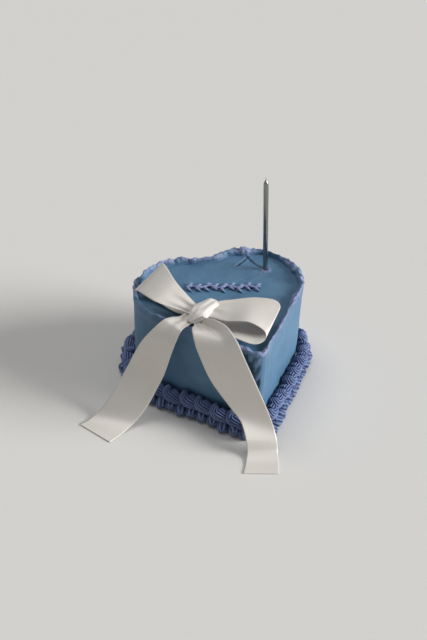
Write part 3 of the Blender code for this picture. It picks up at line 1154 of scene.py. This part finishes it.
@dataclass
class Candle:
    """Thin dipped candle with a tapered tip and a short wick."""

    place: Place
    foot: Triple = (62.0, 17.0, 104.0)
    lean: Triple = (-0.0555, 0.0214, 0.9982)
    radius: float = 2.8
    above: float = 115.5
    below: float = 22.0
    profile: tuple[Pair, ...] = (
        (0.0, 0.9),
        (0.3, 1.0),
        (0.9, 1.0),
        (0.955, 1.0),
        (0.968, 0.96),
        (0.98, 0.76),
        (0.99, 0.55),
        (1.0, 0.3),
    )
    wick: tuple[Pair, ...] = ((0.3, 0.5), (1.3, 0.55), (2.7, 0.5), (3.4, 0.4), (3.7, 0.2))

    def rod(self, stations: Sequence[Pair], sides: int, waves: float) -> Array:
        """Rings of a round bar along the candle's line.

        Args:
            stations: Distance along the line and radius of each ring.
            sides: Points in each ring.
            waves: Unevenness, as a share of the radius.

        Returns:
            Array of rings, points and coordinates.
        """
        turn = np.array(Vector(self.lean).normalized().to_track_quat("Z", "Y").to_matrix())
        angle = np.arange(sides) * math.tau / sides
        grain = Grain(23)
        rings = []
        for along, radius in stations:
            around = np.column_stack([np.cos(angle), np.sin(angle), np.full(sides, along / 9.0)])
            r = radius * (1 + waves * grain.at(around + 50, 0.9))
            ring = np.column_stack([r * np.cos(angle), r * np.sin(angle), np.full(sides, along)])
            rings.append(np.array(self.foot) + ring @ turn.T)
        return np.array(rings)

    def build(self, coat: bpy.types.Material, cotton: bpy.types.Material) -> None:
        """Build the candle and its wick.

        Args:
            coat: Finish of the candle.
            cotton: Finish of the wick.
        """
        shaft = np.linspace(-self.below, self.above * 0.95, 80)
        tip = np.linspace(0.952, 1, 14) * self.above
        along = np.concatenate([shaft, tip])
        share = np.clip(along / self.above, 0, 1)
        radii = self.radius * np.interp(share, *np.array(self.profile).T)
        points, faces = closed_sweep(self.rod(list(zip(along, radii)), 40, 0.025))
        candle = make_piece("dipped_candle", self.place.world(points), faces, coat)
        settle(candle, "silver_coat", "candle")
        plait = [(self.above + rise, radius) for rise, radius in self.wick]
        points, faces = closed_sweep(self.rod(plait, 16, 0.2))
        wick = make_piece("cotton_wick", self.place.world(points), faces, cotton)
        settle(wick, "wick_cotton", "candle_wick")


# ---------------------------------------------------------------- bow


LOOP_LEFT = (
    ((-49.0, -50.0, 114.5), (-38.0, -43.0, 118.0)),
    ((-60.5, -40.5, 116.5), (-43.0, -35.0, 120.5)),
    ((-80.0, -24.0, 119.0), (-53.0, -11.0, 129.0)),
    ((-91.5, 1.0, 117.5), (-56.0, 18.0, 132.0)),
    ((-94.0, 10.0, 114.0), (-57.0, 28.0, 130.0)),
    ((-90.0, 9.0, 112.4), (-54.0, 27.0, 122.0)),
    ((-77.0, -5.0, 107.5), (-49.0, 12.0, 110.0)),
    ((-63.0, -27.0, 105.5), (-42.0, -20.0, 106.0)),
    ((-55.0, -38.0, 107.0), (-42.0, -36.0, 107.5)),
    ((-48.0, -48.0, 110.5), (-38.0, -45.0, 111.0)),
)
LOOP_RIGHT = (
    ((-42.0, -55.0, 116.0), (-33.0, -47.0, 118.0)),
    ((-32.0, -65.0, 117.5), (-19.5, -45.5, 121.5)),
    ((-22.0, -79.0, 121.0), (-4.0, -50.0, 124.0)),
    ((-4.0, -94.0, 127.0), (18.0, -58.0, 127.5)),
    ((9.0, -105.0, 121.0), (35.0, -72.0, 130.0)),
    ((8.0, -112.0, 115.0), (35.0, -84.0, 127.0)),
    ((-4.0, -113.0, 112.6), (20.0, -82.0, 114.0)),
    ((-18.0, -98.0, 112.3), (-3.0, -68.0, 108.5)),
    ((-30.0, -72.0, 107.5), (-22.0, -53.0, 106.5)),
    ((-40.0, -58.0, 111.0), (-34.0, -49.0, 111.0)),
)
TAIL_RIGHT = (
    ((-50.0, -56.0, 114.0), (-35.0, -54.0, 115.5)),
    ((-52.0, -66.0, 113.6), (-38.0, -66.0, 113.8)),
    ((-56.0, -71.0, 114.2), (-31.0, -77.0, 115.2)),
    ((-58.0, -78.0, 113.4), (-22.0, -91.0, 115.6)),
    ((-58.0, -85.0, 107.0), (-19.5, -108.5, 114.2)),
    ((-56.0, -91.0, 97.0), (-16.5, -119.0, 103.0)),
    ((-47.0, -106.0, 70.0), (-7.0, -130.5, 76.0)),
    ((-31.0, -123.0, 43.0), (3.0, -142.0, 47.0)),
    ((-23.0, -135.0, 31.0), (9.0, -149.0, 26.0)),
    ((-22.0, -150.0, 18.0), (10.0, -158.0, 14.0)),
    ((-22.0, -155.0, 6.0), (9.0, -164.0, 5.0)),
    ((-26.0, -163.0, 1.4), (6.0, -174.0, 1.4)),
    ((-35.0, -178.0, 0.7), (0.0, -190.0, 0.7)),
)
TAIL_LEFT = (
    ((-54.0, -44.0, 113.6), (-47.0, -54.0, 113.4)),
    ((-62.0, -47.0, 112.9), (-56.5, -64.0, 112.9)),
    ((-71.0, -46.5, 113.4), (-62.0, -66.5, 112.9)),
    ((-80.0, -48.0, 112.8), (-68.0, -70.0, 110.5)),
    ((-94.0, -49.0, 102.0), (-74.0, -73.0, 101.0)),
    ((-105.0, -44.0, 83.0), (-79.5, -74.0, 86.0)),
    ((-118.0, -43.0, 56.0), (-86.0, -72.0, 60.0)),
    ((-131.0, -46.0, 35.0), (-95.0, -71.0, 38.0)),
    ((-143.0, -49.0, 19.0), (-107.0, -74.0, 19.0)),
    ((-154.0, -51.0, 7.0), (-121.0, -78.0, 6.0)),
    ((-165.0, -54.0, 1.6), (-137.0, -86.0, 1.4)),
    ((-177.0, -58.0, 0.7), (-153.0, -94.0, 0.7)),
)


@dataclass
class Bow:
    """The satin bow: two loops, two tails and the knot that gathers them."""

    place: Place
    width: float = 0.04

    def build(self, finish: bpy.types.Material) -> None:
        """Build every length of ribbon.

        Args:
            finish: Satin.
        """
        loop, tail = (Held.FOLDED, ("cake_body",)), (Held.DRAPED, ("cake_body", "floor"))
        lengths = (
            ("loop_left", loop, 0.135, LOOP_LEFT, 2.0, 4, (0.0, 0.0)),
            ("loop_right", loop, 0.138, LOOP_RIGHT, 2.0, 7, (0.0, 0.0)),
            ("tail_left", tail, 0.172, TAIL_LEFT, 2.0, 9, (0.0, 0.0)),
            ("tail_right", tail, 0.189, TAIL_RIGHT, 3.0, 12, (2.0, 8.0, 11.0, 9.0, 4.0, 0.0)),
        )
        for name, (held, rests), long, edges, pleats, seed, curl in lengths:
            RibbonLength(
                name,
                "bow_" + name,
                self.place,
                held,
                (self.width, long),
                rests,
                edges,
                pleats=pleats,
                seed=seed,
                curl=curl,
            ).build(finish)
        Knot(self.place).build(finish)


# ---------------------------------------------------------------- studio


@dataclass
class Studio:
    """Pale floor, soft light and the camera."""

    place: Place
    floor_colour: str = "E6E4E0"
    floor_half: float = 6.0
    sky_colour: str = "F4F5F7"
    sky_light: float = 0.17
    sky_seen: float = 0.42
    lens: float = 50.0
    distance: float = 1.1135
    target: Triple = (23.9, 75.9, -3.8)
    turn: float = math.radians(21.1)
    rise: float = math.radians(37.97)
    roll: float = math.radians(-2.3)

    def floor(self) -> bpy.types.Object:
        """Lay the floor and fill the world with soft light."""
        material, _, shader = new_material("pale_floor")
        shader.inputs["Base Color"].default_value = linear(self.floor_colour)
        shader.inputs["Roughness"].default_value = 0.9
        shader.inputs["Specular IOR Level"].default_value = 0.2
        points = np.array([(-1, -1, 0), (1, -1, 0), (1, 1, 0), (-1, 1, 0)]) * self.floor_half
        floor = make_piece("floor", points, [[0, 1, 2, 3]], material)
        world = bpy.data.worlds.new("soft_sky")
        world.use_nodes = True
        back = world.node_tree.nodes["Background"]
        back.inputs["Color"].default_value = linear(self.sky_colour)
        # The sky is paler where it is seen, directly or mirrored, than as a source of light.
        add = partial(add_node, world.node_tree)
        ray = add("ShaderNodeLightPath").outputs
        seen = add(
            "ShaderNodeMath", {0: ray["Is Camera Ray"], 1: ray["Is Glossy Ray"]}, operation="ADD"
        )
        strength = add(
            "ShaderNodeMapRange",
            {"Value": seen},
            {"To Min": self.sky_light, "To Max": self.sky_seen},
        )
        plug(back, {"Strength": strength})
        bpy.context.scene.world = world
        return floor

    def lamp(self, name: str, toward: Triple, spread: float, strength: float) -> None:
        """Add a far lamp whose shadows are soft.

        Args:
            name: Name of the lamp.
            toward: Direction from the cake to the lamp.
            spread: Width of the lamp as seen from the cake, in degrees.
            strength: Light on a surface that faces it, in watts per square metre.
        """
        data = bpy.data.lights.new(name, "SUN")
        data.angle = math.radians(spread)
        data.energy = strength
        lamp = bpy.data.objects.new(name, data)
        lamp.rotation_euler = (-Vector(toward)).to_track_quat("-Z", "Y").to_euler()
        bpy.context.scene.collection.objects.link(lamp)

    def camera(self) -> None:
        """Set the camera by its turn round the target, its rise above it and its roll."""
        data = bpy.data.cameras.new("camera")
        data.lens = self.lens
        data.sensor_width = 36.0
        data.clip_start, data.clip_end = 0.05, 50.0
        target = Vector(self.target) * MM + self.place.origin
        flat = Vector((-math.sin(self.turn), -math.cos(self.turn), 0.0))
        back = flat * math.cos(self.rise) + Vector((0, 0, math.sin(self.rise)))
        right = Vector((-flat.y, flat.x, 0.0))
        up = back.cross(right)
        side = right * math.cos(self.roll) - up * math.sin(self.roll)
        top = right * math.sin(self.roll) + up * math.cos(self.roll)
        turned = Matrix((side, top, back)).transposed().to_4x4()
        camera = bpy.data.objects.new("camera", data)
        camera.matrix_world = Matrix.Translation(target + back * self.distance) @ turned
        bpy.context.scene.collection.objects.link(camera)
        bpy.context.scene.camera = camera

    def build(self) -> None:
        """Build the floor, the lamps and the camera."""
        self.floor()
        self.lamp("key", (0.85, -0.45, 0.36), 26.0, 3.6)
        self.lamp("overhead", (-0.12, 0.30, 0.93), 36.0, 0.85)
        self.camera()
        bpy.context.scene.view_settings.view_transform = "Standard"


def main() -> None:
    """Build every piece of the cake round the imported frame."""
    logging.basicConfig(level=logging.INFO, format="%(name)s: %(message)s")
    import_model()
    heart = Heart()
    place = Place(heart.lobe_radius, 1.8)
    spread = Buttercream("spread_buttercream").build()
    # Piped cream: a brighter painted highlight on its ridges and a darker painted shade in its
    # grooves.
    piped = Buttercream(
        "piped_buttercream",
        body="4C6591",
        deep="40567F",
        crest="8A98C6",
        painted_shade="1B2A4A",
        streak_depth=0.1,
    ).build()
    drawn = Buttercream(
        "drawn_buttercream", body="5F789F", deep="547096", crest="8F98BE", streak_depth=0.1
    ).build()
    satin = Satin().build()
    IcedBlock(heart, place).build(spread)
    large = ShellRow(
        "large_shells",
        "border_large_shells",
        heart,
        place,
        shells=30,
        nozzle=Nozzle.FINE,
        path=(
            (-4.5, -3.5, 22.5),
            (-6.0, -5.0, 21.0),
            (-5.5, -7.0, 18.0),
            (-2.0, -8.0, 16.3),
            (3.0, -8.0, 15.0),
            (8.0, -8.0, 13.4),
            (13.0, -7.5, 12.2),
            (17.5, -7.0, 11.6),
        ),
        radii=(3.0, 5.8, 7.6, 8.1, 7.4, 5.8, 3.9, 2.0),
        rings=32,
        per_tooth=4,
        seed=31,
        jitter=0.07,
        ruffle=1.6,
    )
    small = ShellRow(
        "small_shells",
        "border_small_shells",
        heart,
        place,
        shells=46,
        nozzle=Nozzle.COARSE,
        path=(
            (-1.5, -5.5, 8.0),
            (-1.5, -9.5, 7.6),
            (-0.5, -13.0, 6.2),
            (1.0, -16.0, 5.2),
            (2.2, -18.6, 4.4),
        ),
        radii=(3.7, 6.0, 6.4, 5.9, 4.6),
        rings=20,
        per_tooth=4,
        seed=57,
        jitter=0.09,
        ruffle=3.2,
        shift=0.5,
    )
    large.build(piped)
    small.build(piped)
    Vine(place).build(drawn)
    Candle(place).build(SilverCoat().build(), WaxedCotton().build())
    Bow(place).build(satin)
    Studio(place).build()


if __name__ == "__main__":
    main()
